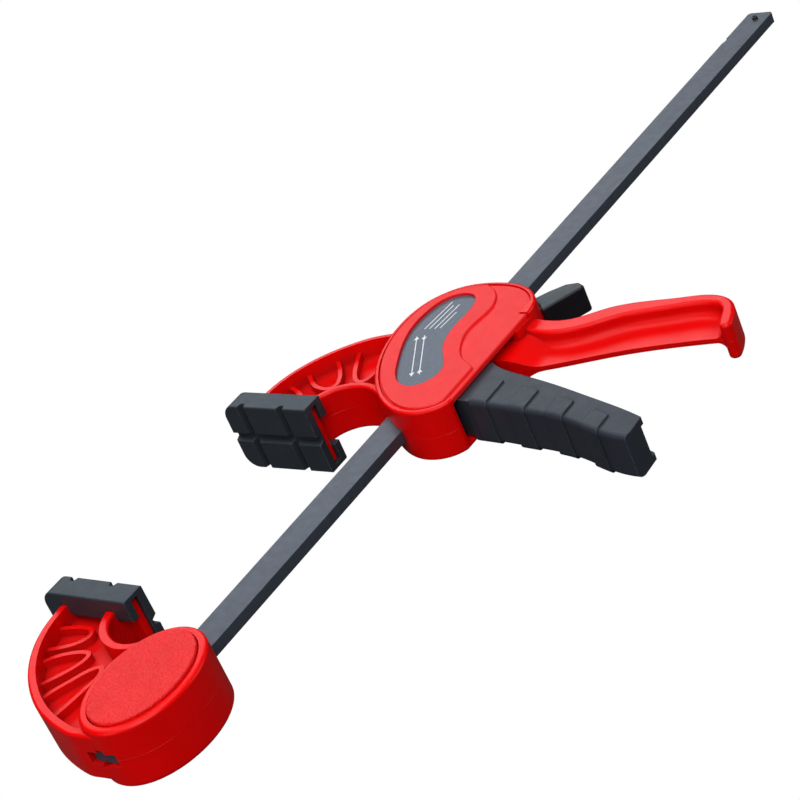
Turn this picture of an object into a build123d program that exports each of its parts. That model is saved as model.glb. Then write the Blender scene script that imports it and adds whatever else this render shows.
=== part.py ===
"""One-handed bar clamp: a flat bar, a fixed jaw, and a carriage with a pistol grip that is
pumped along the bar. All lengths are millimetres.

Frame: origin on the bar's axis, in the plane of the fixed pad's face. +X runs along the bar to
its free end, +Y points from the bar to the jaws, +Z points out of the cover side.
"""

import os
from math import cos, radians, sin, tan

from build123d import *

os.makedirs("parts", exist_ok=True)

# ---------------------------------------------------------------- driving dimensions
# Flat steel bar
bar_width = 12.0
bar_thick = 4.5
bar_length = 475.6
bar_sink = 1.2  # how far the bar's end lies inside the fixed jaw's boss
bar_corner = 1.0  # chamfer on the bar's end corners
notch_inset = 22.7  # from each end of the bar to the steep face of its notch
notch_run = 4.8
notch_depth = 1.0
stop_pin_radius = 1.25
stop_pin_wall = 0.45
stop_pin_inset = 5.7
stop_pin_stand = 1.2  # how far each end of a stop pin stands out of the bar

# Jaws
body_half = 11.7  # half the thickness of the fixed jaw's boss, and the carriage's front side
body_back = 9.6  # the carriage's back side
body_round = 1.0
rest_opening = 98.7  # pad face to pad face in the rest pose
arm_half = 9.4  # half the thickness of the jaw arms
arm_high = 65.0
arm_round = 1.0
fixed_throat = 38.5  # height of the throat's wall at the fixed jaw's plate
moving_throat = 36.7
fixed_rim = 3.2  # width of the rims round the jaw arms
moving_rim = 2.4
arm_web_half = 2.2
finger_wall = 1.8
finger_sink = 4.1  # how far the stiffening walls lie under the rims
plate_thick = 3.0
plate_half = 12.4
plate_low = 32.0
plate_high = 69.0
plate_root = 1.5  # how far an arm goes into its plate

# Rubber pads
pad_half = 14.4
pad_low = 30.3
pad_high = 73.0
pad_front = 3.4  # rubber in front of the jaw plate
pad_lip = 3.2  # rubber behind the jaw plate
pad_groove = 2.2  # depth of the grooves
groove_top = 1.9  # half their width at the face
groove_foot = 0.9
groove_low = 12.7  # from the pad's low end to its two cross grooves
groove_high = 32.5
hook_gap = 6.0  # half the gap between the two hooks at the pad's low end
pad_round = 6.0
pad_fit = 0.1
lip_fit = 0.3

# Release button, catch and its spring in the fixed jaw
boss_x = -38.3
boss_y = -2.2
boss_long = 25.8
boss_short = 19.8
boss_round = 1.5
button_border = 3.0  # width of the rim left round the button
button_fit = 0.35
button_thick = 3.0
button_stand = 1.2  # height of the button over the rim
button_travel = 1.3
stem_radius = 2.0
stem_spread = 12.5
stem_y = -10.0
stem_length = 7.0
catch_width = 4.6
catch_half = 3.0
catch_back = 12.0

# Housing of the carriage
wall = 3.0
floor_thick = 1.6
cover_rim = 1.7  # width of the rim round the cover
cover_fit = 0.2
cover_thick = 2.0
field_rise = 0.9
label_depth = 1.1
label_thick = 0.3
cover_foot = -27.3  # the cover's free lower edge
slot_front = 14.2
slot_back = 58.5

# Fixed handle
handle_half = 7.3
handle_web_half = 1.0
handle_root = 3.0  # fillet between the web and the palm wall
handle_round = 1.4
neck_root_half = 5.5  # the web's thicker root inside the trigger's channel
neck_root_top = -22.5
neck_root_start = -27.0
neck_root_end = -42.0

# Trigger
trigger_half = 8.8
fork_half = 7.5  # back side of the trigger inside the housing
trigger_slot_half = 4.4
channel_half = 6.0
channel_top = -14.0
trigger_web = 2.8
trigger_round = 1.8
band_rise = 0.6
band_width = 7.8
band_pitch = 18.0
band_first = -32.5
band_count = 4
pivot_x = 32.3
pivot_y = 11.0
pivot_radius = 2.0
pivot_seat = 0.8  # how far the pivot pin goes into the floor and into the cover
nose_radius = 2.2
nose_x = 35.9
nose_y = 0.5

# Drive plates, brake plate and their springs
drive_plate_thick = 2.2
drive_plate_half = 7.0
drive_plate_reach = 8.5
coil_radius = 7.2
coil_wire = 0.9
partition_x = 57.3
partition_thick = 3.0
brake_x = 74.6
brake_y = 18.3
brake_thick = 2.5
brake_half = 6.5
brake_reach = 31.0
brake_head = 0.9  # how far the plate stands over its pivot line
neck_length = 22.0
brake_tilt = 3.0
neck_half = 3.4
tab_half = 5.5
tab_gap = 0.5  # from the housing's rear wall
brake_seat_x = 84.0

# Screws that hold the cover, put in from the back
screw_places = [(13.8, -16.0), (51.3, 19.9), (64.6, -17.5)]
screw_radius = 1.4
screw_head = 2.4
screw_head_high = 1.1
screw_sink = 0.1  # how far the heads lie under the back
screw_length = 17.0
post_radius = 2.7
post_split = 3.0

# Clearances
slide_fit = 0.2  # round the bar, on the pieces that slide on it
seat_fit = 0.12  # round the bar, on the fixed jaw
running_fit = 0.05
press_fit = 0.01

# ---------------------------------------------------------------- derived places
bar_tail = boss_long - boss_x - bar_sink  # from the bar's end to the fixed pad's face
bar_end = bar_length - bar_tail
bar_middle = (bar_end - bar_tail) / 2
plate_back = pad_front + plate_thick
pad_depth = plate_back + pad_lip
cover_ledge = body_half - cover_thick - 0.4
cover_top = cover_ledge + cover_thick
field_top = cover_top + field_rise
label_floor = field_top - label_depth - label_thick
cavity_floor = -body_back + floor_thick
pin_low = cavity_floor - pivot_seat
pin_high = cover_ledge + pivot_seat
screw_seat = -body_back + screw_sink + screw_head_high
finger_top = arm_half - finger_sink
button_top = body_half + button_stand
button_bottom = button_top - button_thick
nose_tip = nose_x + nose_radius
drive_start = nose_tip + 0.1
drive_spring_start = drive_start + 2 * drive_plate_thick
catch_x = -bar_tail + notch_inset + notch_run / 2
stop_pin_length = bar_thick + 2 * stop_pin_stand


def carriage(*points):
    """Points given from the moving pad's face, moved to the carriage's rest place."""
    return [(rest_opening + x, y) for x, y in points]


def inset(face, amount):
    """A face with its outline moved inwards, as plain splines."""
    with BuildSketch() as smaller:
        add(face)
        offset(amount=-amount, mode=Mode.REPLACE)
    return smaller.sketch.to_splines()


def save(part, label):
    part.part.label = label
    export_step(part.part, f"parts/{label}.step")


# ---------------------------------------------------------------- bar and stop pins
with BuildPart() as bar:
    with BuildSketch(Plane.XY.offset(-bar_thick / 2)) as bar_face:
        with Locations((bar_middle, 0)):
            Rectangle(bar_length, bar_width)
        chamfer(bar_face.vertices(), length=bar_corner)
        for end, inward in ((-bar_tail, 1), (bar_end, -1)):
            steep = end + inward * notch_inset
            with BuildLine():
                Polyline(
                    (steep, bar_width / 2 + 1),
                    (steep, bar_width / 2 - notch_depth),
                    (steep + inward * notch_run, bar_width / 2),
                    (steep + inward * notch_run, bar_width / 2 + 1),
                    close=True,
                )
            make_face(mode=Mode.SUBTRACT)
    extrude(amount=bar_thick)
    with Locations(
        (-bar_tail + stop_pin_inset, 0, bar_thick / 2),
        (bar_end - stop_pin_inset, 0, bar_thick / 2),
    ):
        Hole(radius=stop_pin_radius, depth=bar_thick)
save(bar, "bar")


def stop_pin(x):
    """A slotted spring pin across the bar."""
    with BuildPart() as pin:
        with BuildSketch(Plane.XY.offset(-stop_pin_length / 2)):
            with Locations((x, 0)):
                Circle(stop_pin_radius - press_fit)
                Circle(stop_pin_radius - stop_pin_wall, mode=Mode.SUBTRACT)
            with Locations((x + stop_pin_radius, 0)):
                Rectangle(stop_pin_radius, stop_pin_wall, mode=Mode.SUBTRACT)
        extrude(amount=stop_pin_length)
    return pin


jaw_end_pin = stop_pin(-bar_tail + stop_pin_inset)
free_end_pin = stop_pin(bar_end - stop_pin_inset)
save(jaw_end_pin, "jaw_end_pin")
save(free_end_pin, "free_end_pin")


# ---------------------------------------------------------------- fixed jaw
def fixed_arm(plate_x):
    """Outline of the fixed jaw's arm, closed at the jaw plate by a line at plate_x. It runs
    smoothly into the end of the boss."""
    boss_tip = (boss_x - boss_long, boss_y)
    with BuildSketch() as face:
        with BuildLine():
            Line((plate_x, arm_high), (-6.5, arm_high))
            Spline(
                (-6.5, arm_high), (-24.4, 62.3), (-40.1, 53.1), (-53.3, 38.3), (-61.0, 23.2), (-64.4, 11.1),
                boss_tip, tangents=[(-1, 0), (0, -1)],
            )
            Polyline(boss_tip, (-19.1, boss_y), (-19.1, 14.6))
            Spline((-19.1, 14.6), (-22.5, 23.1), (-17.9, 33.6), (-6.7, fixed_throat))
            Polyline((-6.7, fixed_throat), (plate_x, fixed_throat), (plate_x, arm_high))
        make_face()
    return face.sketch


def fingers(*runs):
    """U-shaped stiffening walls: each run goes in from the rim, round a tip and out again."""
    with BuildSketch() as walls:
        for run in runs:
            with BuildLine(mode=Mode.PRIVATE) as path:
                Spline(*run)
            trace(path.line, line_width=finger_wall)
    return walls.sketch


with BuildSketch() as boss_face:
    with Locations((boss_x, boss_y)):
        Ellipse(boss_long, boss_short)

with BuildSketch() as fixed_pocket:
    add(inset(fixed_arm(-plate_back + fixed_rim), fixed_rim))
    add(boss_face.sketch, mode=Mode.SUBTRACT)

with BuildSketch() as fixed_floor:
    add(fixed_pocket.sketch)
    add(
        fingers(
            [
                (-57.6, 29.1), (-48.4, 27.2), (-40.5, 26.0), (-32.6, 26.0), (-31.0, 27.6), (-32.6, 30.8),
                (-38.1, 34.7), (-44.4, 38.6), (-51.6, 40.7),
            ],
            [
                (-45.1, 48.6), (-38.1, 42.6), (-32.6, 39.0), (-28.6, 37.5), (-26.1, 38.0), (-25.5, 40.2),
                (-26.3, 44.2), (-28.6, 49.7), (-35.1, 56.6),
            ],
            [
                (-28.1, 60.1), (-25.5, 53.7), (-23.1, 48.9), (-20.0, 45.8), (-17.6, 45.0), (-15.2, 46.5),
                (-14.4, 49.7), (-15.2, 56.0), (-17.1, 63.6),
            ],
        ),
        mode=Mode.SUBTRACT,
    )

with BuildSketch() as button_hole:
    with Locations((boss_x, boss_y)):
        Ellipse(boss_long - button_border, boss_short - button_border)

def outer_edges(part, top):
    """The outline of a block's top or bottom face."""
    flats = part.faces().filter_by(Axis.Z).sort_by(Axis.Z)
    return flats[-1 if top else 0].outer_wire().edges()


with BuildPart() as boss:
    extrude(boss_face.sketch, amount=body_half, both=True)
    fillet(outer_edges(boss, True), radius=boss_round)
    fillet(outer_edges(boss, False), radius=boss_round)

with BuildPart() as fixed_jaw:
    extrude(fixed_arm(-plate_back + plate_root), amount=arm_half, both=True)
    fillet(outer_edges(fixed_jaw, True), radius=arm_round)
    fillet(outer_edges(fixed_jaw, False), radius=arm_round)
    add(boss.part)
    # jaw plate that the rubber pad slips over
    with Locations((-pad_front - plate_thick / 2, (plate_low + plate_high) / 2, 0)):
        Box(plate_thick, plate_high - plate_low, 2 * plate_half)
    for side in (-1, 1):
        with BuildSketch(Plane.XY.offset(side * finger_top)):
            add(fixed_pocket.sketch)
        extrude(amount=side * body_half, mode=Mode.SUBTRACT)
        with BuildSketch(Plane.XY.offset(side * arm_web_half)):
            add(fixed_floor.sketch)
        extrude(amount=side * (finger_top - arm_web_half), mode=Mode.SUBTRACT)
    # socket for the bar, with a groove that lets the stop pin through
    with Locations((-30.0, 0, 0)):
        Box(90, bar_width + 2 * seat_fit, bar_thick + 2 * seat_fit, mode=Mode.SUBTRACT)
        Box(90, 2 * stop_pin_radius + 0.6, stop_pin_length + 0.6, mode=Mode.SUBTRACT)
    # recess, stem holes and chamber of the release button
    with BuildSketch(Plane.XY.offset(button_bottom - button_travel - 0.3)):
        add(button_hole.sketch)
    extrude(amount=body_half, mode=Mode.SUBTRACT)
    with Locations(
        (boss_x - stem_spread, stem_y, button_bottom), (boss_x + stem_spread, stem_y, button_bottom)
    ):
        Hole(radius=stem_radius + running_fit, depth=stem_length + button_travel + 0.5)
    with Locations((catch_x, 5.0, -catch_half - 0.1)):
        Box(
            catch_width + 0.2, catch_back + button_travel + 0.2 - 5.0, body_half + catch_half,
            align=(Align.CENTER, Align.MIN, Align.MIN), mode=Mode.SUBTRACT,
        )
    with Locations((catch_x, catch_back, 0)):
        Box(
            catch_width + 0.2, 4.4, 2 * catch_half,
            align=(Align.CENTER, Align.MIN, Align.CENTER), mode=Mode.SUBTRACT,
        )
save(fixed_jaw, "fixed_jaw")

with BuildPart() as release_button:
    with BuildSketch(Plane.XY.offset(button_bottom)):
        with Locations((boss_x, boss_y)):
            Ellipse(
                boss_long - button_border - button_fit, boss_short - button_border - button_fit
            )
    extrude(amount=button_thick)
    fillet(release_button.edges().group_by(Axis.Z)[-1], radius=0.7)
    with BuildSketch(Plane.XY.offset(button_bottom)):
        with Locations((boss_x - stem_spread, stem_y), (boss_x + stem_spread, stem_y)):
            Circle(stem_radius)
    extrude(amount=-stem_length)
    # wedge foot that pushes the catch back
    foot_low = catch_half + button_travel + 0.3
    ramp_gap = 0.07
    with BuildSketch(Plane.YZ.offset(catch_x - catch_width / 2 + 0.4)):
        with BuildLine():
            Polyline(
                (7.3, foot_low),
                (foot_low + catch_back - catch_half - 4.5 - ramp_gap, foot_low),
                (11.0, 11.0 - catch_back + catch_half + 4.5 + ramp_gap),
                (11.0, button_bottom),
                (7.3, button_bottom),
                close=True,
            )
        make_face()
    extrude(amount=catch_width - 0.8)
save(release_button, "release_button")

with BuildPart() as jaw_catch:
    with BuildSketch(Plane.XY.offset(-catch_half)):
        with BuildLine():
            Polyline(
                (catch_x - catch_width / 2 + 0.1, bar_width / 2 - notch_depth + 0.1),
                (catch_x + catch_width / 2, bar_width / 2 + 0.15),
                (catch_x + catch_width / 2, catch_back),
                (catch_x - catch_width / 2 + 0.1, catch_back),
                close=True,
            )
        make_face()
    extrude(amount=2 * catch_half)
    # ramp under the button's foot
    with BuildSketch(Plane.YZ.offset(catch_x - catch_width / 2 + 0.1)):
        with BuildLine():
            Polyline(
                (catch_back - 4.5, catch_half), (catch_back, catch_half), (catch_back, catch_half + 4.5),
                close=True,
            )
        make_face()
    extrude(amount=catch_width - 0.1)
save(jaw_catch, "jaw_catch")


def coil_spring(start, direction, length, radius, wire, turns):
    """A coil of round wire that starts at a point and runs along a direction."""
    with BuildPart() as spring:
        with BuildLine() as path:
            Helix(
                pitch=(length - wire) / turns, height=length - wire, radius=radius,
                center=start + direction * (wire / 2), direction=direction,
            )
        with BuildSketch(Plane(origin=path.line @ 0, z_dir=path.line % 0)):
            Circle(wire / 2)
        sweep(is_frenet=True)
    return spring


catch_spring = coil_spring(Vector(catch_x, catch_back, 0), Vector(0, 1, 0), 4.3, 1.8, 0.6, 4)
save(catch_spring, "catch_spring")


# ---------------------------------------------------------------- rubber pads
def groove(face_x, away):
    """Section of a groove: a tapered cut into the pad's face."""
    with BuildSketch() as section:
        with BuildLine():
            Polyline(
                (face_x, -groove_top), (face_x + away * pad_groove, -groove_foot),
                (face_x + away * pad_groove, groove_foot), (face_x, groove_top), (face_x - away, 0),
                close=True,
            )
        make_face()
    return section.sketch


def jaw_pad(face_x, away, throat, arm_rim):
    """A rubber cap over a jaw plate. away is the direction from its face to its back along X."""
    mid_y = (pad_low + pad_high) / 2
    high = pad_high - pad_low
    with BuildPart() as pad:
        with BuildSketch(Plane.YZ.offset(face_x)) as block:
            with Locations((mid_y, 0)):
                Rectangle(high, 2 * pad_half)
            fillet(block.vertices().group_by(Axis.X)[-1], radius=pad_round)
        extrude(amount=away * pad_depth)
        fillet(pad.faces().filter_by(Axis.X).edges().filter_by(lambda e: e.center().Y > pad_low + 1),
               radius=0.6)
        # two grooves across the face and one along it
        with BuildSketch(Plane.XY.offset(-pad_half - 1)):
            with Locations((0, pad_low + groove_low), (0, pad_low + groove_high)):
                add(groove(face_x, away))
        extrude(amount=2 * pad_half + 2, mode=Mode.SUBTRACT)
        with BuildSketch(Plane.XZ.offset(-pad_high - 1)):
            add(groove(face_x, away))
        extrude(amount=high + 2, mode=Mode.SUBTRACT)
        # socket for the plate, open at the bar side
        with Locations((face_x + away * (pad_front + plate_thick / 2), pad_low - 1, 0)):
            Box(
                plate_thick + 2 * pad_fit, plate_high + pad_fit - pad_low + 1,
                2 * (plate_half + pad_fit),
                align=(Align.CENTER, Align.MIN, Align.CENTER), mode=Mode.SUBTRACT,
            )
        # room behind the plate: between the hooks, then for the arm's two rims and what lies between
        for low, top, half in (
            (pad_low - 1, throat, hook_gap),
            (throat - lip_fit, throat + arm_rim + lip_fit, arm_half + lip_fit),
            (throat + arm_rim, arm_high - arm_rim, finger_top + lip_fit),
            (arm_high - arm_rim - lip_fit, arm_high + lip_fit, arm_half + lip_fit),
        ):
            with Locations((face_x + away * (pad_depth - pad_lip / 2), low, 0)):
                Box(
                    pad_lip + 1, top - low, 2 * half,
                    align=(Align.CENTER, Align.MIN, Align.CENTER), mode=Mode.SUBTRACT,
                )
    return pad


fixed_pad = jaw_pad(0, -1, fixed_throat, fixed_rim)
moving_pad = jaw_pad(rest_opening, 1, moving_throat, moving_rim)
save(fixed_pad, "fixed_pad")
save(moving_pad, "moving_pad")

# ---------------------------------------------------------------- housing
with BuildSketch() as body_face:
    with BuildLine():
        skin = Spline(
            *carriage(
                (12.8, -27.6), (6.8, -21.8), (5.0, -12.5), (9.7, 0), (20.8, 12.5), (38.0, 22.9),
                (55.2, 27.0), (74.0, 24.2), (84.5, 14.1), (87.9, 0), (84.6, -17.6), (76.5, -26.0),
                (67.7, -28.0),
            )
        )
        Line(skin @ 1, skin @ 0)
    make_face()


def moving_arm(plate_x):
    """Outline of the moving jaw's arm, closed at the jaw plate by a line at plate_x."""
    with BuildSketch() as face:
        with BuildLine():
            Line(*carriage((plate_x, arm_high), (12.5, arm_high)))
            Spline(
                *carriage((12.5, arm_high), (25.3, 63.1), (40.9, 54.3), (52.8, 39.8), (57.9, 25.0)),
                tangents=[(1, 0), (0.3, -1)],
            )
            Polyline(*carriage((57.9, 25.0), (50.0, 18.0), (26.0, 8.0), (18.9, 8.6), (18.9, 11.7)))
            Spline(*carriage((18.9, 11.7), (22.3, 22.1), (19.3, 32.1), (12.3, moving_throat)))
            Polyline(
                *carriage((12.3, moving_throat), (plate_x, moving_throat), (plate_x, arm_high)),
            )
        make_face()
    return face.sketch


with BuildSketch() as moving_pocket:
    add(inset(moving_arm(plate_back - moving_rim), moving_rim))
    add(body_face.sketch, mode=Mode.SUBTRACT)

with BuildSketch() as moving_floor:
    add(moving_pocket.sketch)
    add(
        fingers(
            carriage((26.4, 63.6), (23.5, 56.8), (19.4, 51.1), (11.9, 48.6), (plate_back - 0.5, 47.8)),
            carriage(
                (34.4, 58.6), (30.6, 54.4), (27.0, 49.7), (25.4, 45.0), (25.6, 41.4), (27.4, 39.8),
                (30.6, 40.2), (35.3, 43.0), (40.1, 46.9), (43.9, 51.1),
            ),
            carriage(
                (50.4, 43.6), (42.4, 39.8), (36.9, 36.7), (32.2, 33.1), (30.6, 30.0), (31.4, 28.0),
                (34.5, 26.8), (40.9, 25.9), (47.5, 25.6),
            ),
        ),
        mode=Mode.SUBTRACT,
    )

with BuildSketch() as palm_face:
    with BuildLine():
        outside = Spline(
            *carriage(
                (74.0, -21.0), (70.5, -31.5), (71.6, -44.5), (77.9, -54.7), (82.5, -67.2),
                (85.7, -83.6), (87.5, -95.0), (84.5, -104.2), (77.4, -109.3), (70.6, -111.6),
            )
        )
        inside = Spline(
            *carriage(
                (66.0, -22.0), (62.2, -34.0), (62.6, -43.0), (66.1, -52.3), (73.2, -64.1),
                (78.4, -80.0), (82.0, -95.0), (80.6, -102.0), (74.0, -105.2), (68.8, -107.4),
            )
        )
        ThreePointArc(outside @ 1, carriage((68.0, -110.2))[0], inside @ 1)
        Line(inside @ 0, outside @ 0)
    make_face()

with BuildSketch() as palm_web_face:
    with BuildLine():
        edge = Spline(
            *carriage((46.2, -30.0), (50.9, -45.6), (59.9, -69.0), (65.2, -87.6), (69.6, -109.2))
        )
        Polyline(
            edge @ 1,
            *carriage(
                (76.0, -107.6), (82.6, -103.0), (84.8, -95.0), (75.8, -64.0), (69.0, -52.0), (66.5, -40.0),
                (67.5, -29.0), (67.5, -22.5), (45.8, -22.5),
            ),
            edge @ 0,
        )
    make_face()

with BuildPart() as web_root:
    with BuildSketch(Plane.YZ.offset(rest_opening + 40.0)) as root_face:
        with BuildLine():
            flare = Spline(
                (neck_root_start, neck_root_half), (neck_root_end, handle_web_half),
                tangents=[(-1, 0), (-1, 0)],
            )
            Polyline(flare @ 1, (neck_root_end, 0), (neck_root_top, 0), (neck_root_top, neck_root_half))
            Line((neck_root_top, neck_root_half), flare @ 0)
        make_face()
        mirror(about=Plane.XZ)
    extrude(amount=30.0)
    with BuildSketch(Plane.XY.offset(-neck_root_half)):
        add(palm_web_face.sketch)
    extrude(amount=2 * neck_root_half, mode=Mode.INTERSECT)

with BuildPart() as handle:
    extrude(palm_face.sketch, amount=handle_half, both=True)
    rims = handle.edges().filter_by(Plane.XY).filter_by(lambda e: e.geom_type != GeomType.LINE)
    fillet(rims, radius=handle_round)
    extrude(palm_web_face.sketch, amount=handle_web_half, both=True)
    roots = handle.edges().filter_by(
        lambda e: abs(abs(e.center().Z) - handle_web_half) < 0.01
        and e.length > 60 and e.center().X > rest_opening + 66
    )
    fillet(roots, radius=handle_root)
    add(web_root.part)

with BuildSketch() as cover_opening:
    add(inset(body_face.sketch, cover_rim))
    with Locations(*carriage((68.0, -24.2))):
        Rectangle(30, 20, align=(Align.MIN, Align.MAX), mode=Mode.SUBTRACT)
    with Locations(*carriage((14.6, -20.0))):
        Rectangle(53.4, 20, align=(Align.MIN, Align.MAX))

with BuildSketch() as cavity_face:
    add(inset(body_face.sketch, wall))
    with Locations(*carriage((slot_front, -20.0))):
        Rectangle(slot_back - slot_front, 20, align=(Align.MIN, Align.MAX))

with BuildSketch() as cover_face:
    add(inset(body_face.sketch, cover_rim + cover_fit))
    with Locations(*carriage((68.0 - cover_fit, -24.2 + cover_fit))):
        Rectangle(30, 20, align=(Align.MIN, Align.MAX), mode=Mode.SUBTRACT)
    with Locations(*carriage((14.6 + cover_fit, -20.0))):
        Rectangle(53.4 - 2 * cover_fit, -20.0 - cover_foot, align=(Align.MIN, Align.MAX))

with BuildSketch() as field_face:
    with BuildLine():
        wave = Spline(
            *carriage(
                (26.0, -26.2), (33.2, -24.8), (38.0, -17.6), (45.4, -11.6), (57.0, -8.2),
                (70.6, -9.7), (80.4, -5.4), (85.2, 1.4), (86.2, 8.0),
            )
        )
        Polyline(wave @ 1, *carriage((95.0, 40.0), (0, 40.0), (0, -26.2)))
        Line(carriage((0, -26.2))[0], wave @ 0)
    make_face()
    add(inset(body_face.sketch, cover_rim + cover_fit + 0.6), mode=Mode.INTERSECT)

with BuildSketch() as label_face:
    with BuildLine():
        Spline(
            *carriage(
                (20.3, -3.9), (22.6, -9.6), (28.6, -12.6), (34.6, -10.9), (42.0, -5.4), (51.3, -1.3),
                (61.5, -0.6), (71.6, -0.5), (77.8, 3.0), (79.3, 8.6), (76.2, 15.2), (68.0, 18.7),
                (57.5, 19.2), (45.8, 16.2), (34.1, 10.8), (24.4, 4.5),
            ),
            periodic=True,
        )
    make_face()

neck_dir = Vector(13.0, -11.0, 0).normalized()
neck_angle = -40.2
brake_low = (
    brake_x - brake_reach * sin(radians(brake_tilt)),
    brake_y - brake_reach * cos(radians(brake_tilt)),
)

with BuildPart() as arm:
    extrude(moving_arm(plate_back - plate_root), amount=arm_half, both=True)
    fillet(outer_edges(arm, True), radius=arm_round)
    fillet(outer_edges(arm, False), radius=arm_round)

with BuildPart() as housing:
    with BuildSketch(Plane.XY.offset(-body_back)):
        add(body_face.sketch.to_splines())
    extrude(amount=body_back + body_half)
    fillet(outer_edges(housing, True), radius=body_round)
    fillet(outer_edges(housing, False), radius=body_round)
    add(arm.part)
    with Locations((rest_opening + pad_front + plate_thick / 2, (plate_low + plate_high) / 2, 0)):
        Box(plate_thick, plate_high - plate_low, 2 * plate_half)
    for side in (-1, 1):
        with BuildSketch(Plane.XY.offset(side * finger_top)):
            add(moving_pocket.sketch)
        extrude(amount=side * body_half, mode=Mode.SUBTRACT)
        with BuildSketch(Plane.XY.offset(side * arm_web_half)):
            add(moving_floor.sketch)
        extrude(amount=side * (finger_top - arm_web_half), mode=Mode.SUBTRACT)
    # opening for the cover, then the cavity for the mechanism
    with BuildSketch(Plane.XY.offset(cover_ledge)):
        add(cover_opening.sketch)
    extrude(amount=body_half, mode=Mode.SUBTRACT)
    with BuildSketch(Plane.XY.offset(cavity_floor)):
        add(cavity_face.sketch)
    extrude(amount=cover_ledge - cavity_floor, mode=Mode.SUBTRACT)
    # partition behind the drive spring and flat seat behind the brake spring
    cavity_high = cover_ledge - cavity_floor
    with Locations((rest_opening + partition_x, -9.5, cavity_floor)):
        Box(partition_thick, 34.5, cavity_high, align=Align.MIN)
    with Locations((rest_opening + brake_seat_x, -9.0, cavity_floor)):
        Box(2.0, 18.0, cavity_high, align=Align.MIN)
    # two ribs that hold the top end of the brake plate
    for x in (brake_x - brake_thick / 2 - 0.25 - 1.6, brake_x + brake_thick / 2 + 0.25):
        with Locations((rest_opening + x, brake_y - 1.2, cavity_floor)):
            Box(1.6, 5.0, cavity_high, align=Align.MIN)
    add(handle.part)
    # screw posts, their recesses and the seat of the trigger's pin
    with BuildSketch(Plane.XY.offset(cavity_floor)):
        with Locations(*carriage(*screw_places)):
            Circle(post_radius)
    extrude(amount=post_split - cavity_floor)
    with Locations(*[(x, y, -body_back) for x, y in carriage(*screw_places)]):
        Cylinder(
            screw_head + 0.2, screw_head_high + screw_sink,
            align=(Align.CENTER, Align.CENTER, Align.MIN), mode=Mode.SUBTRACT,
        )
        Cylinder(
            screw_radius + 0.2, body_back + post_split,
            align=(Align.CENTER, Align.CENTER, Align.MIN), mode=Mode.SUBTRACT,
        )
    with Locations((rest_opening + pivot_x, pivot_y, pin_low)):
        Cylinder(
            pivot_radius + press_fit, pin_high - pin_low,
            align=(Align.CENTER, Align.CENTER, Align.MIN), mode=Mode.SUBTRACT,
        )
    # way through for the bar
    with Locations((rest_opening + 45.0, 0, 0)):
        Box(100, bar_width + 2 * slide_fit, bar_thick + 2 * slide_fit, mode=Mode.SUBTRACT)
    # slot in the rear wall for the neck of the brake plate
    with BuildSketch(Plane.XY.offset(-neck_half - 0.4)):
        with Locations(Location((rest_opening + brake_low[0], brake_low[1], 0), (0, 0, neck_angle))):
            with Locations((12.0, 1.7)):
                Rectangle(14.0, 7.4)
    extrude(amount=2 * (neck_half + 0.4), mode=Mode.SUBTRACT)
save(housing, "housing")

# ---------------------------------------------------------------- cover and label
with BuildPart() as cover:
    with BuildSketch(Plane.XY.offset(cover_ledge)):
        add(cover_face.sketch)
    extrude(amount=cover_thick)
    fillet(cover.faces().sort_by(Axis.Z)[-1].edges(), radius=0.5)
    with BuildSketch(Plane.XY.offset(cover_ledge)):
        add(field_face.sketch)
    extrude(amount=field_top - cover_ledge)
    fillet(cover.faces().sort_by(Axis.Z)[-1].edges(), radius=0.5)
    with BuildSketch(Plane.XY.offset(label_floor)):
        add(label_face.sketch)
    extrude(amount=label_depth + label_thick, mode=Mode.SUBTRACT)
    # pivot boss and screw posts on the inside
    with BuildSketch(Plane.XY.offset(cover_ledge)):
        with Locations(*carriage((pivot_x, pivot_y))):
            Circle(2 * pivot_radius)
    extrude(amount=trigger_half + 0.3 - cover_ledge)
    with BuildSketch(Plane.XY.offset(cover_ledge)):
        with Locations(*carriage(*screw_places)):
            Circle(post_radius)
    extrude(amount=post_split + 0.1 - cover_ledge)
    with Locations((rest_opening + pivot_x, pivot_y, pin_high)):
        Cylinder(
            pivot_radius + press_fit, pin_high - pin_low,
            align=(Align.CENTER, Align.CENTER, Align.MAX), mode=Mode.SUBTRACT,
        )
    with Locations(*[(x, y, 0) for x, y in carriage(*screw_places)]):
        Cylinder(
            screw_radius + press_fit, screw_seat + screw_length + 0.3,
            align=(Align.CENTER, Align.CENTER, Align.MIN), mode=Mode.SUBTRACT,
        )
save(cover, "cover")

with BuildPart() as label:
    with BuildSketch(Plane.XY.offset(label_floor)):
        add(inset(label_face.sketch, 0.15))
    extrude(amount=label_thick)
save(label, "label")

with BuildPart() as cover_screws:
    for x, y in carriage(*screw_places):
        with Locations((x, y, -body_back + screw_sink)):
            Cylinder(screw_head, screw_head_high, align=(Align.CENTER, Align.CENTER, Align.MIN))
        with Locations((x, y, screw_seat)):
            Cylinder(screw_radius, screw_length, align=(Align.CENTER, Align.CENTER, Align.MIN))
save(cover_screws, "cover_screws")

with BuildPart() as trigger_pin:
    with Locations((rest_opening + pivot_x, pivot_y, pin_low)):
        Cylinder(
            pivot_radius, pin_high - pin_low, align=(Align.CENTER, Align.CENTER, Align.MIN)
        )
save(trigger_pin, "trigger_pin")

# ---------------------------------------------------------------- trigger
front_points = [
    (17.1, -31.6), (16.3, -39.8), (14.7, -52.1), (13.0, -64.5), (10.5, -76.7), (6.2, -89.1),
    (2.7, -101.3), (2.2, -106.4),
]
back_points = [
    (40.4, -28.0), (36.2, -36.5), (34.1, -43.8), (29.4, -60.9), (22.4, -82.0), (16.1, -100.0),
    (13.2, -107.0),
]


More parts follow.
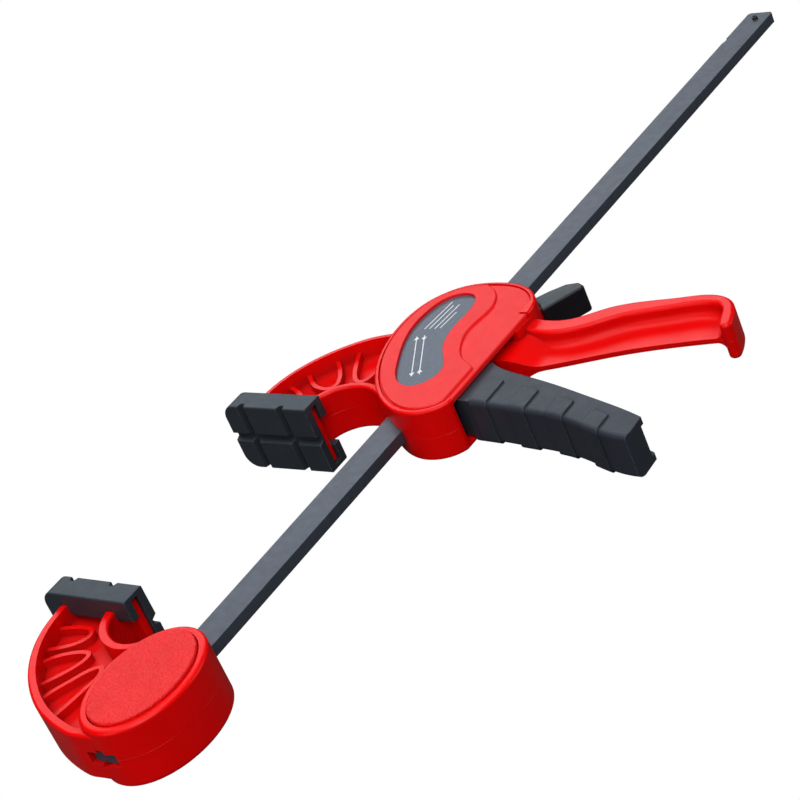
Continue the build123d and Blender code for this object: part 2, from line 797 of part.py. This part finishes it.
def grip_face(shift):
    """Side outline of the trigger's grip, with its front face moved back by shift."""
    with BuildSketch() as face:
        with BuildLine():
            front = Spline(*carriage(*[(x + shift, y) for x, y in front_points]))
            back = Spline(*carriage(*back_points))
            Polyline(front @ 1, carriage((4.6 + shift, -107.4))[0], back @ 1)
            Polyline(back @ 0, *carriage((36.0, -22.0), (20.0, -14.0)), front @ 0)
        make_face()
    return face.sketch


with BuildPart() as band_body:
    with BuildSketch(Plane.XY.offset(-trigger_half - band_rise)):
        add(grip_face(-band_rise))
        with BuildLine():
            Polyline(
                *carriage(
                    (32.5, -28.0), (30.3, -36.4), (25.7, -54.4), (20.9, -72.5), (14.5, -90.1), (8.0, -108.5),
                    (60.0, -108.5), (60.0, -28.0),
                ),
                close=True,
            )
        make_face(mode=Mode.SUBTRACT)
    extrude(amount=2 * (trigger_half + band_rise))
    fillet(band_body.edges().filter_by(lambda e: e.geom_type != GeomType.LINE).group_by(Axis.X)[0],
           radius=trigger_round + band_rise / 2)
    with BuildSketch(Plane.XY.offset(-20)):
        for n in range(band_count):
            with Locations((rest_opening + 10, band_first - n * band_pitch - band_width / 2)):
                Rectangle(60, band_width)
    extrude(amount=40, mode=Mode.INTERSECT)

with BuildPart() as trigger:
    extrude(grip_face(0), amount=trigger_half, both=True)
    fillet(trigger.edges().filter_by(lambda e: e.geom_type != GeomType.LINE).group_by(Axis.X)[0],
           radius=trigger_round)
    # arms that go up past the bar to the pivot
    with BuildSketch(Plane.XY.offset(-trigger_half)):
        with BuildLine():
            Polyline(
                *carriage(
                    (pivot_x - 4.0, pivot_y), (23.8, 0), (19.8, -14.0), (17.1, -31.6), (25.0, -40.0),
                    (38.0, -31.0), (40.4, -28.0), (39.6, -23.0), (32.8, -14.0), (31.8, -9.0),
                    (34.0, -3.2), (nose_x, nose_y), (pivot_x + 4.0, 4.5), (pivot_x + 4.0, pivot_y),
                ),
                close=True,
            )
        make_face()
        with Locations(*carriage((pivot_x, pivot_y))):
            Circle(4.0)
        with Locations(*carriage((nose_x, nose_y))):
            Circle(nose_radius)
    extrude(amount=2 * trigger_half)
    add(band_body.part)
    # slot for the bar and wider channel along the back, with a recessed end wall
    for half, top in ((trigger_slot_half, 25.0), (channel_half, channel_top)):
        with BuildSketch(Plane.XY.offset(-half)):
            with BuildLine():
                inner = Spline(*carriage(*[(x + trigger_web, y) for x, y in front_points[:-1]]))
                Polyline(
                    inner @ 1, *carriage((2.7 + trigger_web, -104.6), (11.5, -104.6), (11.5, -110.0)),
                    *carriage((60.0, -110.0), (60.0, 25.0), (0, 25.0), (0, -9.0), (21.0 + trigger_web, -9.0)),
                    inner @ 0,
                )
            make_face()
            with Locations((rest_opening + 30.0, top)):
                Rectangle(120, 200, align=(Align.CENTER, Align.MAX), mode=Mode.INTERSECT)
        extrude(amount=2 * half, mode=Mode.SUBTRACT)
    with Locations((rest_opening + pivot_x, pivot_y, 0)):
        Cylinder(pivot_radius + running_fit, 4 * trigger_half, mode=Mode.SUBTRACT)
    # thinner at the back where it swings over the housing's floor
    with BuildSketch(Plane.XY.offset(-trigger_half - 1)):
        with BuildLine():
            Polyline(
                *carriage(
                    (0, -28.5), (23.3, -28.5), (42.0, -37.6), (60.0, -46.5), (60.0, 25.0), (0, 25.0)
                ),
                close=True,
            )
        make_face()
    extrude(amount=trigger_half + 1 - fork_half, mode=Mode.SUBTRACT)
save(trigger, "trigger")


# ---------------------------------------------------------------- drive plates and brake
def drive_plate(x):
    """A hardened plate with a window that grips the bar when the trigger tilts it."""
    with BuildPart() as plate:
        with BuildSketch(Plane.YZ.offset(rest_opening + x)) as face:
            with Locations((0.5, 0)):
                Rectangle(2 * drive_plate_reach - 1, 2 * drive_plate_half)
            fillet(face.vertices(), radius=1.5)
            Rectangle(bar_width + 0.3, bar_thick + 2 * slide_fit, mode=Mode.SUBTRACT)
        extrude(amount=drive_plate_thick)
    return plate


front_drive_plate = drive_plate(drive_start)
rear_drive_plate = drive_plate(drive_start + drive_plate_thick)
save(front_drive_plate, "front_drive_plate")
save(rear_drive_plate, "rear_drive_plate")

drive_spring = coil_spring(
    Vector(rest_opening + drive_spring_start, 0, 0), Vector(1, 0, 0),
    partition_x - drive_spring_start, coil_radius, coil_wire, 5,
)
save(drive_spring, "drive_spring")

brake_spring_start = brake_x + brake_thick / 2 - brake_y * tan(radians(brake_tilt)) + 0.5
brake_spring = coil_spring(
    Vector(rest_opening + brake_spring_start, 0, 0), Vector(1, 0, 0),
    brake_seat_x - brake_spring_start, coil_radius, coil_wire, 3,
)
save(brake_spring, "brake_spring")

window_half = (
    bar_width / 2 / cos(radians(brake_tilt)) + brake_thick / 2 * tan(radians(brake_tilt)) + 0.04
)
neck_end = (brake_low[0] + neck_length * neck_dir.X, brake_low[1] + neck_length * neck_dir.Y)

with BuildPart() as brake_plate:
    tilted = Location((rest_opening + brake_x, brake_y, 0), (0, 0, -brake_tilt))
    with BuildSketch(Plane.XY.offset(-brake_half)):
        with Locations(tilted):
            with Locations((0, brake_head)):
                Rectangle(brake_thick, brake_reach + brake_head, align=(Align.CENTER, Align.MAX))
    extrude(amount=2 * brake_half)
    with BuildSketch(Plane.XY.offset(-neck_half)):
        with BuildLine() as bend:
            Line(carriage(brake_low)[0], carriage(neck_end)[0])
        trace(bend.line, line_width=brake_thick)
        with Locations(carriage(brake_low)[0]):
            Circle(brake_thick / 2)
    extrude(amount=2 * neck_half)
    with BuildSketch(Plane.XY.offset(-bar_thick / 2 - slide_fit)):
        with Locations(tilted):
            with Locations((0, -brake_y / cos(radians(brake_tilt)))):
                Rectangle(3 * brake_thick, 2 * window_half)
    extrude(amount=bar_thick + 2 * slide_fit, mode=Mode.SUBTRACT)
save(brake_plate, "brake_plate")

with BuildPart() as release_tab:
    with BuildSketch(Plane.XY.offset(-tab_half)) as tab_face:
        with BuildLine():
            Polyline(
                *carriage(
                    (85.9, -16.9), (91.0, -21.0), (95.6, -26.0), (97.0, -31.0), (94.6, -35.4),
                    (79.0, -25.9), (76.0, -20.0),
                ),
                close=True,
            )
        make_face()
        fillet(tab_face.vertices().group_by(Axis.X)[-1], radius=2.0)
        fillet(tab_face.vertices().group_by(Axis.Y)[0], radius=1.6)
    extrude(amount=2 * tab_half)
    fillet(release_tab.faces().filter_by(Axis.Z).edges(), radius=0.9)
    with BuildSketch(Plane.XY.offset(-tab_half - 1)):
        add(inset(body_face.sketch, -tab_gap))
    extrude(amount=2 * tab_half + 2, mode=Mode.SUBTRACT)
    with BuildSketch(Plane.XY.offset(-neck_half - press_fit)):
        with BuildLine() as core:
            Line(
                carriage(brake_low)[0],
                carriage((neck_end[0] + press_fit, neck_end[1] - press_fit))[0],
            )
        trace(core.line, line_width=brake_thick + 2 * press_fit)
    extrude(amount=2 * (neck_half + press_fit), mode=Mode.SUBTRACT)
save(release_tab, "release_tab")
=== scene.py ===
import bpy
import numpy as np
from mathutils import Matrix, Vector


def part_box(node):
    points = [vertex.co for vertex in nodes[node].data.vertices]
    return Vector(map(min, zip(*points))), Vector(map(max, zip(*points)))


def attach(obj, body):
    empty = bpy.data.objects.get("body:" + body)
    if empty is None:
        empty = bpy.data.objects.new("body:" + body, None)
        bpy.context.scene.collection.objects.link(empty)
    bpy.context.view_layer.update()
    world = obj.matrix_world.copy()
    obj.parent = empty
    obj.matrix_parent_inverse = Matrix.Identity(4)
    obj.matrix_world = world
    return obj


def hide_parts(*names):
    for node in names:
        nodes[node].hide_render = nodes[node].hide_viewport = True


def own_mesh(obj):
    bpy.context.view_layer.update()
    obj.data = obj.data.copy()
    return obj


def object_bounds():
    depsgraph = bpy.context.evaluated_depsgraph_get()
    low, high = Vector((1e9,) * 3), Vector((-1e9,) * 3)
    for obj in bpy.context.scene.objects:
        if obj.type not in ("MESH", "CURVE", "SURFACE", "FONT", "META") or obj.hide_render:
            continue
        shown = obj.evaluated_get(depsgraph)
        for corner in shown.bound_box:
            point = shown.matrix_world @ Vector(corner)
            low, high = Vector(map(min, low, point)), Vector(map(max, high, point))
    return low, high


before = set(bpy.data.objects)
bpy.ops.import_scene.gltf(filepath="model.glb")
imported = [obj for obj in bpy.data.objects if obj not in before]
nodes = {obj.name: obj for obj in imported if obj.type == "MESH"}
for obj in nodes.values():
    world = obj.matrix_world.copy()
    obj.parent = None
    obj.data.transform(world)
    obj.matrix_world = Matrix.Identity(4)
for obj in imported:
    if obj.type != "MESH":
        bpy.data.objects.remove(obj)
cadLow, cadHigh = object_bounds()
mm = 0.001  # metres in a millimetre: the dictionaries of looks give their sizes in millimetres
print("frame loaded", len(nodes), "nodes")

samples = dict(bevel=10, paintedPocketShade=8)
mixSockets = dict(first=6, second=7, result=2)  # the mix node's colour sockets share their names


class Shader:
    # A material's node tree, with short calls for the nodes used here.
    def __init__(self, name):
        self.material = bpy.data.materials.new(name)
        self.material.use_nodes = True
        self.tree = self.material.node_tree
        self.tree.nodes.clear()
        self.place = self.add("ShaderNodeTexCoord").outputs["Object"]

    def add(self, kind, inputs=None, **settings):
        node = self.tree.nodes.new(kind)
        for key, value in settings.items():
            setattr(node, key, value)
        for key, value in (inputs or {}).items():
            self.feed(node.inputs[key], value)
        return node

    def feed(self, socket, value):
        if isinstance(value, bpy.types.NodeSocket):
            self.tree.links.new(value, socket)
        else:
            socket.default_value = value

    def math(self, operation, *values):
        node = self.add("ShaderNodeMath", operation=operation)
        for socket, value in zip(node.inputs, values):
            self.feed(socket, value)
        return node.outputs[0]

    def noise(self, size, detail=3.0, stretch=(1, 1, 1), rough=0.5):
        moved = self.add("ShaderNodeVectorMath", {0: self.place, 1: stretch}, operation="MULTIPLY")
        node = self.add("ShaderNodeTexNoise", {
            "Vector": moved.outputs[0], "Scale": 1 / (size * mm), "Detail": detail, "Roughness": rough,
        })
        return node.outputs["Fac"]

    def cells(self, size):
        node = self.add("ShaderNodeTexVoronoi", {"Vector": self.place, "Scale": 1 / (size * mm)},
                        feature="SMOOTH_F1")
        return node.outputs["Distance"]

    def spread(self, value, low, high, start=0.3, end=0.7):
        # Most of a noise lies between 0.3 and 0.7, so that stretch is drawn out to low and high.
        node = self.add("ShaderNodeMapRange", {
            "Value": value, "From Min": start, "From Max": end, "To Min": low, "To Max": high,
        })
        return node.outputs["Result"]

    def blend(self, share, first, second):
        node = self.add("ShaderNodeMix", data_type="RGBA")
        self.feed(node.inputs["Factor"], share)
        self.feed(node.inputs[mixSockets["first"]], first)
        self.feed(node.inputs[mixSockets["second"]], second)
        return node.outputs[mixSockets["result"]]

    def roundedNormal(self, radius):
        node = self.add("ShaderNodeBevel", {"Radius": radius * mm}, samples=samples["bevel"])
        return node.outputs["Normal"]

    def bump(self, height, depth, normal=None):
        inputs = {"Height": height, "Distance": depth * mm, "Strength": 1.0}
        if normal is not None:
            inputs["Normal"] = normal
        return self.add("ShaderNodeBump", inputs).outputs["Normal"]

    def edges(self, radius, low=0.02, high=0.16):
        # Share of a point that lies on a sharp edge: where the rounded normal leaves the true one.
        plain = self.add("ShaderNodeNewGeometry").outputs["Normal"]
        dot = self.add("ShaderNodeVectorMath", {0: plain, 1: self.roundedNormal(radius)},
                       operation="DOT_PRODUCT")
        return self.spread(self.math("SUBTRACT", 1.0, dot.outputs["Value"]), 0.0, 1.0, low, high)

    def pockets(self, reach, low=0.40, high=0.95):
        # Share of a point that lies deep in a pocket, from ambient occlusion: it sets where painted
        # shade darkens the colour and where the surface is made rougher.
        node = self.add("ShaderNodeAmbientOcclusion", {"Distance": reach * mm},
                        samples=samples["paintedPocketShade"], only_local=True)
        return self.spread(node.outputs["AO"], 1.0, 0.0, low, high)

    def finish(self, **inputs):
        surface = self.add("ShaderNodeBsdfPrincipled", inputs)
        self.add("ShaderNodeOutputMaterial", {"Surface": surface.outputs[0]})
        return self.material


def colour(r, g, b):
    return (r, g, b, 1.0)


coolSheen = (0.72, 0.87, 1.0)
# The pocket colours are painted shade: a darker colour laid into recesses where shade falls.
plastics = {
    "redSatin": dict(
        base=(0.80, 0.0006, 0.0008), deep=(0.75, 0.0004, 0.0005), paintedPocketShade=(0.50, 0.0003, 0.0004),
        roughness=0.30, shine=0.18, grain=0.55, grainDepth=0.0006, edge=0.2, parting=0.16,
    ),
    "redGrained": dict(
        base=(0.80, 0.003, 0.004), deep=(0.75, 0.002, 0.003),
        roughness=0.48, shine=0.42, grain=0.36, grainDepth=0.05,
    ),
    "redLeather": dict(
        base=(0.78, 0.003, 0.005), deep=(0.70, 0.002, 0.003),
        roughness=0.48, shine=0.38, grain=0.40, grainDepth=0.07, leather=0.80,
    ),
    # The worn colours are paler edges in patches: partly wear, partly a painted edge highlight.
    "blackGrip": dict(
        base=(0.026, 0.029, 0.040), deep=(0.021, 0.024, 0.034), paintedPocketShade=(0.010, 0.011, 0.015),
        edgeWearAndHighlight=(0.110, 0.120, 0.140), tint=coolSheen,
        roughness=0.46, shine=0.47, grain=0.34, grainDepth=0.030, edge=0.6,
    ),
    "tabBlack": dict(
        base=(0.006, 0.006, 0.008), deep=(0.004, 0.004, 0.005), tint=coolSheen,
        roughness=0.40, shine=0.6, grain=0.3, grainDepth=0.010,
    ),
    "padRubber": dict(
        base=(0.022, 0.027, 0.035), deep=(0.017, 0.021, 0.028), paintedPocketShade=(0.005, 0.006, 0.008),
        edgeWearAndHighlight=(0.095, 0.106, 0.124), tint=coolSheen,
        roughness=0.50, shine=0.66, grain=0.40, grainDepth=0.020, edge=0.6,
    ),
}
moulding = dict(
    driftSize=14.0, cloudSize=3.5, glossBelow=0.02, glossAbove=0.04, leatherDepth=0.44,
    wearAndHighlightEdge=0.5, wearAndHighlightPatch=2.5, wearAndHighlightLeast=0.1, partingCore=0.3, partingDepth=0.08,
    pocketReach=9.0, pocketGloss=0.32,
)


def mouldedPlastic(name, base, deep, roughness, shine, grain, grainDepth, edge=0.5,
                   tint=(1.0, 1.0, 1.0), parting=None, edgeWearAndHighlight=None, leather=None, paintedPocketShade=None):
    # Moulded plastic: slow drift from base to deep, fine grain and softened edges. Where they are
    # given it also has leather cells, paler edges in patches (partly wear, partly a painted edge
    # highlight), a parting line at half height, and painted shade in pockets, which are also rougher.
    s = Shader(name)
    drift = s.spread(s.noise(moulding["driftSize"], detail=2.0), 0.0, 1.0)
    cloud = s.noise(moulding["cloudSize"])
    shade = s.blend(drift, colour(*base), colour(*deep))
    normal = s.bump(s.noise(grain, detail=5.0, rough=0.6), grainDepth, s.roundedNormal(edge))
    if leather is not None:
        normal = s.bump(s.cells(leather), leather * moulding["leatherDepth"], normal)
    # Paler edges in patches: partly wear, partly a painted edge highlight.
    if edgeWearAndHighlight is not None:
        patches = s.spread(s.noise(moulding["wearAndHighlightPatch"]), moulding["wearAndHighlightLeast"], 1.0)
        wearAndHighlightShare = s.math("MULTIPLY", s.edges(moulding["wearAndHighlightEdge"]), patches)
        shade = s.blend(wearAndHighlightShare, shade, colour(*edgeWearAndHighlight))
    if parting is not None:
        height = s.add("ShaderNodeSeparateXYZ", {0: s.place}).outputs["Z"]
        line = s.spread(s.math("ABSOLUTE", height), 1.0, 0.0,
                        parting * moulding["partingCore"] * mm, parting * mm)
        normal = s.bump(line, moulding["partingDepth"], normal)
    gloss = s.spread(cloud, roughness - moulding["glossBelow"], roughness + moulding["glossAbove"])
    # Painted shade: deep in recesses the colour goes towards the darker pocket colour, and the surface
    # gets rougher.
    if paintedPocketShade is not None:
        share = s.pockets(moulding["pocketReach"])
        shade = s.blend(share, shade, colour(*paintedPocketShade))
        gloss = s.math("MULTIPLY_ADD", share, moulding["pocketGloss"], gloss)
    return s.finish(**{"Base Color": shade, "Roughness": gloss, "Normal": normal,
                       "Specular IOR Level": shine, "Specular Tint": colour(*tint)})


barLook = dict(
    base=(0.066, 0.080, 0.108), deep=(0.055, 0.066, 0.089), metal=0.35, edge=0.35,
    lineSize=1.2, lineStretch=(0.03, 1.0, 1.0), scaleSize=3.0, fineSize=0.25, fineShare=0.5,
    bumpDepth=0.006, scaleGloss=0.6, lineGloss=0.4, glossLow=0.37, glossHigh=0.45,
)


def rolledBar(name):
    # Blued flat steel: rolling lines along X and clouds of mill scale.
    s = Shader(name)
    lines = s.noise(barLook["lineSize"], stretch=barLook["lineStretch"])
    scale = s.noise(barLook["scaleSize"], detail=5.0)
    fine = s.noise(barLook["fineSize"])
    shade = s.blend(s.spread(scale, 0.0, 1.0), colour(*barLook["base"]), colour(*barLook["deep"]))
    height = s.math("ADD", lines, s.math("MULTIPLY", fine, barLook["fineShare"]))
    normal = s.bump(height, barLook["bumpDepth"], s.roundedNormal(barLook["edge"]))
    mixed = s.math("ADD", s.math("MULTIPLY", scale, barLook["scaleGloss"]),
                   s.math("MULTIPLY", lines, barLook["lineGloss"]))
    gloss = s.spread(mixed, barLook["glossLow"], barLook["glossHigh"])
    return s.finish(**{"Base Color": shade, "Metallic": barLook["metal"], "Roughness": gloss,
                       "Normal": normal})


steels = {
    "pinSteel": dict(tone=0.10, roughness=0.35), "plateSteel": dict(tone=0.42, roughness=0.30),
    "springSteel": dict(tone=0.46, roughness=0.28), "screwSteel": dict(tone=0.05, roughness=0.40),
}
scratches = dict(size=0.5, stretch=(0.15, 1.0, 1.0), depth=0.006, edge=0.15, blue=1.01,
                 dark=0.8, darkBlue=0.82, rougher=0.12)


def brightSteel(name, tone, roughness):
    # Bare steel with fine scratches, a touch darker and rougher in them.
    s = Shader(name)
    scratch = s.noise(scratches["size"], detail=4.0, stretch=scratches["stretch"])
    dark = tone * scratches["dark"]
    shade = s.blend(s.spread(scratch, 0.0, 1.0), colour(tone, tone, tone * scratches["blue"]),
                    colour(dark, dark, tone * scratches["darkBlue"]))
    normal = s.bump(scratch, scratches["depth"], s.roundedNormal(scratches["edge"]))
    gloss = s.spread(scratch, roughness, roughness + scratches["rougher"])
    return s.finish(**{"Base Color": shade, "Metallic": 1.0, "Roughness": gloss, "Normal": normal})


class Print:
    # Ink laid on a surface by a material: straight strokes, in millimetres of the model's frame.
    def __init__(self, shader):
        self.shader = shader
        self.ink = None

    def stroke(self, start, end, wide, far=None):
        # A stroke's half width goes evenly from wide at its start to far at its end.
        s = self.shader
        start, end = Vector(start) * mm, Vector(end) * mm
        run = end - start
        along = run.normalized()
        across = Vector((-along.y, along.x))
        far = wide if far is None else far
        u = self.reach(along, start)
        v = s.math("ABSOLUTE", self.reach(across, start))
        half = s.math("MULTIPLY_ADD", u, (far - wide) * mm / run.length, wide * mm)
        inside = s.math("LESS_THAN", v, half)
        inside = s.math("MULTIPLY", inside, s.math("GREATER_THAN", u, 0.0))
        inside = s.math("MULTIPLY", inside, s.math("LESS_THAN", u, run.length))
        self.ink = inside if self.ink is None else s.math("MAXIMUM", self.ink, inside)

    def reach(self, direction, start):
        # How far a point lies from start along a direction.
        s = self.shader
        dot = s.add("ShaderNodeVectorMath", {0: s.place, 1: (direction.x, direction.y, 0.0)},
                    operation="DOT_PRODUCT")
        return s.math("SUBTRACT", dot.outputs["Value"], direction.dot(start))

    def arrow(self, tail, tip):
        # A filled arrowhead whose point is at tip.
        tail, tip = Vector(tail), Vector(tip)
        base = tip - (tip - tail).normalized() * labelPrint["headLength"]
        self.stroke(base, tip, labelPrint["headHalf"], 0.0)


labelPrint = dict(
    spread=((126.1, -0.2), (150.6, 13.9)),  # the arrow that points outwards at both ends
    opening=((127.4, -3.0), (151.6, 10.9)),  # the arrow whose heads point inwards
    rules=(
        ((155.6, 13.6), (173.6, 12.1)), ((155.9, 11.4), (171.4, 10.1)),
        ((155.9, 8.9), (171.9, 7.6)), ((156.4, 6.7), (167.0, 5.8)),
    ),
    line=0.20, rule=0.22, inset=3.6, headLength=2.2, headHalf=1.1,
)
filmLook = dict(
    base=(0.080, 0.100, 0.132), deep=(0.068, 0.086, 0.116), ink=(0.78, 0.80, 0.82),
    peelSize=1.6, peelDepth=0.010, wearAndHighlightPatch=0.7, wearAndHighlightLeast=0.72, glossLow=0.36, glossHigh=0.42,
    shine=0.42,
)


def printedFilm(name):
    # The label's grey film: a satin surface with a faint orange-peel, and its plain signs in white.
    s = Shader(name)
    peel = s.noise(filmLook["peelSize"])
    shade = s.blend(s.spread(peel, 0.0, 1.0), colour(*filmLook["base"]), colour(*filmLook["deep"]))
    film = Print(s)
    start, end = labelPrint["spread"]
    film.stroke(start, end, labelPrint["line"])
    film.arrow(start, end)
    film.arrow(end, start)
    start, end = (Vector(p) for p in labelPrint["opening"])
    inward = (end - start).normalized() * labelPrint["inset"]
    film.stroke(start, end, labelPrint["line"])
    film.arrow(start, start + inward)
    film.arrow(end, end - inward)
    for ends in labelPrint["rules"]:
        film.stroke(*ends, labelPrint["rule"])
    patches = s.spread(s.noise(filmLook["wearAndHighlightPatch"]), filmLook["wearAndHighlightLeast"], 1.0)
    shade = s.blend(s.math("MULTIPLY", film.ink, patches), shade, colour(*filmLook["ink"]))
    gloss = s.spread(peel, filmLook["glossLow"], filmLook["glossHigh"])
    return s.finish(**{"Base Color": shade, "Roughness": gloss,
                       "Normal": s.bump(peel, filmLook["peelDepth"]),
                       "Specular IOR Level": filmLook["shine"], "Specular Tint": colour(*coolSheen)})


materials = {name: mouldedPlastic(name, **look) for name, look in plastics.items()}
materials["barSteel"] = rolledBar("barSteel")
materials.update({name: brightSteel(name, **look) for name, look in steels.items()})
materials["labelFilm"] = printedFilm("labelFilm")

finishes = {
    "bar": "barSteel", "free_end_pin": "pinSteel", "jaw_end_pin": "pinSteel",
    "fixed_jaw": "redSatin", "release_button": "redLeather", "jaw_catch": "plateSteel",
    "catch_spring": "springSteel", "fixed_pad": "padRubber", "moving_pad": "padRubber",
    "housing": "redSatin", "cover": "redGrained", "label": "labelFilm",
    "cover_screws": "screwSteel", "trigger_pin": "pinSteel", "trigger": "blackGrip",
    "front_drive_plate": "plateSteel", "rear_drive_plate": "plateSteel",
    "drive_spring": "springSteel", "brake_plate": "plateSteel", "brake_spring": "springSteel",
    "release_tab": "tabBlack",
}
for name, finish in finishes.items():
    slots = nodes[name].data.materials
    slots.clear()
    slots.append(materials[finish])
print("materials on", len(finishes), "nodes")

coilSprings = {
    "drive_spring": dict(name="driveCoil", along=0, turns=6.5, wire=0.9, body="carriage",
                         joint="drive_slide", keep=0.66),
    "brake_spring": dict(name="brakeCoil", along=0, turns=4.0, wire=0.9, body="carriage",
                         joint="brake_hinge", keep=0.60),
    "catch_spring": dict(name="catchCoil", along=1, turns=4.5, wire=0.6, body="bar_and_jaw",
                         joint="catch_slide", keep=0.66),
}
coilGrid = dict(stepsPerTurn=40, ring=12, flatTurns=0.5)  # flatTurns lie flat at each end


def coilMesh(name, low, high, along, turns, wire):
    # The wire's centre goes round the axis at one radius: at turn t it stands at the angle 2 pi t,
    # and it climbs evenly but for the flat stretch at each end. A point of its skin lies half the
    # wire's thickness from that centre: cos v of it outwards and sin v of it along the axis. The
    # skin's faces and the two end caps face outwards.
    steps, ring = int(turns * coilGrid["stepsPerTurn"]), coilGrid["ring"]
    flat = coilGrid["flatTurns"]
    side = (along + 1) % 3
    length, radius = high[along] - low[along], (high[side] - low[side] - wire) / 2
    t = np.linspace(0, turns, steps)[:, None]
    v = np.linspace(0, 2 * np.pi, ring, endpoint=False)[None, :]
    climb = np.clip((t - flat) / (turns - 2 * flat), 0, 1)
    reach = radius + wire / 2 * np.cos(v)
    points = np.empty((steps, ring, 3))
    points[:, :, along] = low[along] + wire / 2 + climb * (length - wire) + wire / 2 * np.sin(v)
    middle = (low + high) / 2
    points[:, :, side] = middle[side] + reach * np.cos(2 * np.pi * t)
    last = (along + 2) % 3
    points[:, :, last] = middle[last] + reach * np.sin(2 * np.pi * t)
    i, j = np.meshgrid(np.arange(steps - 1), np.arange(ring), indexing="ij")
    k = (j + 1) % ring
    quads = np.stack([i * ring + j, (i + 1) * ring + j, (i + 1) * ring + k, i * ring + k], -1)
    faces = quads.reshape(-1, 4).tolist()
    faces += [list(range(ring)), list(range(steps * ring - 1, (steps - 1) * ring - 1, -1))]
    mesh = bpy.data.meshes.new(name)
    mesh.from_pydata(points.reshape(-1, 3).tolist(), [], faces)
    mesh.polygons.foreach_set("use_smooth", np.ones(len(mesh.polygons), bool))
    return mesh


for node, spring in coilSprings.items():
    low, high = (np.array(corner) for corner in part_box(node))
    coil = bpy.data.objects.new(spring["name"], coilMesh(
        spring["name"], low, high, spring["along"], spring["turns"], spring["wire"] * mm))
    bpy.context.scene.collection.objects.link(coil)
    coil.data.materials.append(materials["springSteel"])
    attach(coil, spring["body"])
    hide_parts(node)
    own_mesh(coil)
print("springs", len(coilSprings))

studio = dict(floorSize=6.0, floorPlace=(0.1, 0.0), floorGap=0.0002, floorTone=0.06, glow=1.0,
              sky=0.03)
bpy.ops.mesh.primitive_plane_add(size=studio["floorSize"],
                                 location=(*studio["floorPlace"], cadLow[2] - studio["floorGap"]))
floor = bpy.context.object
floor.name = "floor"
# The floor is white where it is seen, and dark to light, so that it throws little up on the part.
floorShade = Shader("floorWhite")
lightPath = floorShade.add("ShaderNodeLightPath")
diffuse = floorShade.add("ShaderNodeBsdfDiffuse", {"Color": colour(*[studio["floorTone"]] * 3)})
glow = floorShade.add("ShaderNodeEmission", {"Color": colour(1, 1, 1), "Strength": studio["glow"]})
mixed = floorShade.add("ShaderNodeMixShader", {
    0: lightPath.outputs["Is Camera Ray"], 1: diffuse.outputs[0], 2: glow.outputs[0],
})
floorShade.add("ShaderNodeOutputMaterial", {"Surface": mixed.outputs[0]})
floor.data.materials.append(floorShade.material)

world = bpy.data.worlds.new("studio")
bpy.context.scene.world = world
world.use_nodes = True
background = world.node_tree.nodes["Background"]
background.inputs["Color"].default_value = colour(1, 1, 1)
background.inputs["Strength"].default_value = studio["sky"]


def softbox(name, place, aim, size, power, tone=(1.0, 1.0, 1.0)):
    # An area light; its place, aim and size are in metres and its power in watts.
    data = bpy.data.lights.new(name, "AREA")
    data.color = tone
    data.shape = "RECTANGLE"
    data.size, data.size_y = size
    data.energy = power
    lamp = bpy.data.objects.new(name, data)
    lamp.location = place
    lamp.rotation_euler = (Vector(aim) - Vector(place)).to_track_quat("-Z", "Y").to_euler()
    bpy.context.scene.collection.objects.link(lamp)


aimPoint = (0.1, 0, 0)
lights = {
    "backSoftbox": dict(place=(0.95, 0.95, 0.70), aim=aimPoint, size=(1.3, 0.5), power=5.4,
                        tone=(0.92, 0.965, 1.0)),
    "topSoftbox": dict(place=(0.0, 0.1, 1.4), aim=aimPoint, size=(1.4, 1.4), power=16.0),
    "leftSoftbox": dict(place=(-1.2, 0.2, 0.5), aim=aimPoint, size=(0.7, 0.7), power=3.0),
    "frontSoftbox": dict(place=(-0.86, -1.04, 1.41), aim=aimPoint, size=(1.2, 1.2), power=24.0),
    "rightSoftbox": dict(place=(1.3, -1.0, 0.4), aim=(0.2, 0, 0), size=(0.8, 0.8), power=4.0),
}
for name, settings in lights.items():
    softbox(name, **settings)

cameraSettings = dict(
    place=(-0.37306, -0.51858, 0.39179), lens=100.82, sensor=36.0, farthest=20.0, pixels=800,
    right=(0.53209, -0.76730, -0.35795), up=(0.59316, 0.03613, 0.80427),
    back=(-0.60418, -0.64027, 0.47436),
)
cameraData = bpy.data.cameras.new("camera")
cameraData.lens = cameraSettings["lens"]
cameraData.sensor_width = cameraSettings["sensor"]
cameraData.clip_end = cameraSettings["farthest"]
camera = bpy.data.objects.new("camera", cameraData)
turn = Matrix([cameraSettings[way] for way in ("right", "up", "back")]).transposed()
camera.matrix_world = Matrix.Translation(cameraSettings["place"]) @ turn.to_4x4()
bpy.context.scene.collection.objects.link(camera)
bpy.context.scene.camera = camera

scene = bpy.context.scene
scene.render.resolution_x = scene.render.resolution_y = cameraSettings["pixels"]
scene.view_settings.view_transform = "Standard"
print("floor, lights and camera set")
